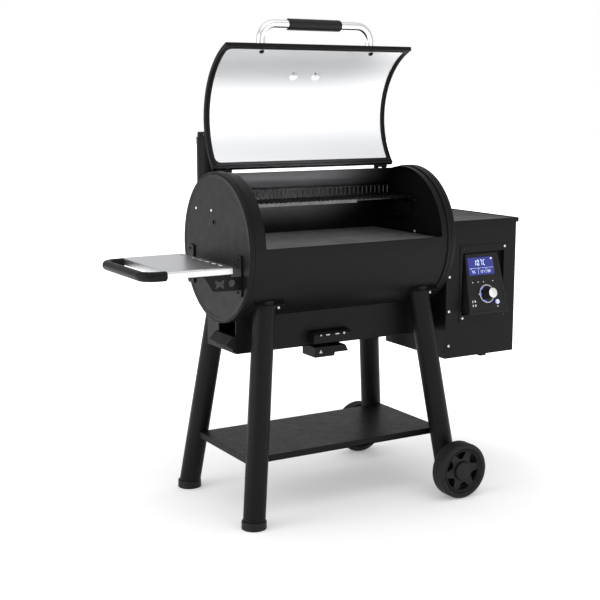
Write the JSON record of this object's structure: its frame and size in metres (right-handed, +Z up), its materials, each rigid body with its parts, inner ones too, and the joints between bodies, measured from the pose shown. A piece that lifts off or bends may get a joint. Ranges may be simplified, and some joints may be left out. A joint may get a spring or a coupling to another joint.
{
  "type": "pellet smoker grill",
  "caption": "Freestanding pellet smoker grill: round steel cook barrel with open lid, side pellet hopper with controller, plain side shelf, splayed legs and wheels.",
  "frame": {"origin": "on the floor, below the middle of the whole grill's box", "axes": "+X along the barrel towards the hopper, +Y to the back, +Z up"},
  "size_m": [1.5245, 0.7395, 1.7022],
  "materials": {
    "black_coat": "satin black powder coat",
    "dark_steel": "heat-darkened steel",
    "stainless": "brushed stainless",
    "polished": "polished stainless",
    "cast_iron": "enamelled cast iron",
    "black_plastic": "moulded black plastic",
    "rubber": "moulded tread",
    "lcd": "backlit blue display",
    "white_plastic": "translucent white plastic"
  },
  "bodies": {
    "root": {"barrel_shell": "black_coat", "left_end_cap": "black_coat", "right_end_cap": "black_coat", "hinge_base_left": "black_coat", "hinge_base_right": "black_coat", "leg_front_left": "black_coat", "leg_back_left": "black_coat", "leg_front_right": "black_coat", "leg_back_right": "black_coat", "saddle_front_left": "black_coat", "saddle_back_left": "black_coat", "saddle_front_right": "black_coat", "saddle_back_right": "black_coat", "foot_front_left": "black_plastic", "foot_back_left": "black_plastic", "lower_shelf": "black_coat", "axle_front": "dark_steel", "axle_back": "dark_steel", "belly_box": "black_coat", "cleanout_cover": "black_coat", "fire_pot": "cast_iron", "heat_deflector": "dark_steel", "grease_tray": "dark_steel", "chimney_pipe": "black_coat", "hopper_body": "black_coat", "hopper_hinge": "dark_steel", "hopper_funnel": "dark_steel", "pellet_guard": "dark_steel", "auger_tube": "dark_steel", "auger_motor": "dark_steel", "fan_housing": "black_plastic", "power_inlet": "black_plastic", "control_plate": "black_coat", "control_housing": "black_plastic", "control_screen": "lcd", "side_shelf": "stainless", "shelf_handle": "black_coat", "shelf_bracket_front": "black_coat", "shelf_bracket_back": "black_coat"},
    "lid": {"lid_shell": "black_coat", "lid_liner": "stainless", "lid_handle_tube": "polished", "lid_handle_grip": "black_plastic", "hinge_leaf_left": "black_coat", "hinge_leaf_right": "black_coat"},
    "hopper_cover": {"hopper_lid": "black_coat"},
    "front_wheel": {"wheel_front": "black_plastic", "tyre_front": "rubber"},
    "back_wheel": {"wheel_back": "black_plastic", "tyre_back": "rubber"},
    "knob": {"control_knob": "black_plastic"},
    "button": {"power_button": "white_plastic"},
    "drawer": {"grease_drawer": "black_coat"},
    "scoop": {"ash_scoop": "black_coat"},
    "grate_left": {"main_grate_left": "cast_iron"},
    "grate_right": {"main_grate_right": "cast_iron"},
    "rack": {"warming_rack": "polished"},
    "auger": {"auger_screw": "dark_steel"},
    "fan": {"fan_impeller": "dark_steel"},
    "flue_cap": {"chimney_cap": "black_coat"}
  },
  "joints": [
    {"name": "lid_hinge", "type": "hinge", "parent": "root", "child": "lid", "pos_m": [0.00525, 0.0944, 1.1795], "axis": [1, 0, 0], "range_deg": [0, 110]},
    {"name": "hopper_lid_hinge", "type": "hinge", "parent": "root", "child": "hopper_cover", "pos_m": [0.59425, 0.209, 0.972], "axis": [-1, 0, 0], "range_deg": [0, 85]},
    {"name": "front_wheel_spin", "type": "hinge", "parent": "root", "child": "front_wheel", "pos_m": [0.39025, -0.346, 0.102], "axis": [0, 1, 0], "continuous": true},
    {"name": "back_wheel_spin", "type": "hinge", "parent": "root", "child": "back_wheel", "pos_m": [0.39025, 0.3175, 0.102], "axis": [0, 1, 0], "continuous": true},
    {"name": "knob_turn", "type": "hinge", "parent": "root", "child": "knob", "pos_m": [0.60625, -0.22179, 0.71296], "axis": [0, -0.9678, 0.2519], "continuous": true},
    {"name": "power_push", "type": "slide", "parent": "root", "child": "button", "axis": [0, 0.9678, -0.2519], "range_m": [0, 0.002], "stiffness_N_per_m": 300},
    {"name": "grease_drawer_slide", "type": "slide", "parent": "root", "child": "drawer", "axis": [-1, 0, 0], "range_m": [0, 0.18]},
    {"name": "ash_scoop_slide", "type": "slide", "parent": "root", "child": "scoop", "axis": [0, -1, 0], "range_m": [0, 0.12]},
    {"name": "left_grate_lift", "type": "slide", "parent": "root", "child": "grate_left", "axis": [0, 0, 1], "range_m": [0, 0.05]},
    {"name": "right_grate_lift", "type": "slide", "parent": "root", "child": "grate_right", "axis": [0, 0, 1], "range_m": [0, 0.05]},
    {"name": "rack_slide", "type": "slide", "parent": "root", "child": "rack", "axis": [0, -1, 0], "range_m": [0, 0.15]},
    {"name": "auger_turn", "type": "hinge", "parent": "root", "child": "auger", "pos_m": [0.29025, 0, 0.625], "axis": [1, 0, 0], "continuous": true},
    {"name": "fan_turn", "type": "hinge", "parent": "root", "child": "fan", "pos_m": [0.52025, 0.09, 0.56], "axis": [0, 1, 0], "continuous": true},
    {"name": "flue_cap_lift", "type": "slide", "parent": "root", "child": "flue_cap", "axis": [0, 0, 1], "range_m": [0, 0.012]}
  ]
}
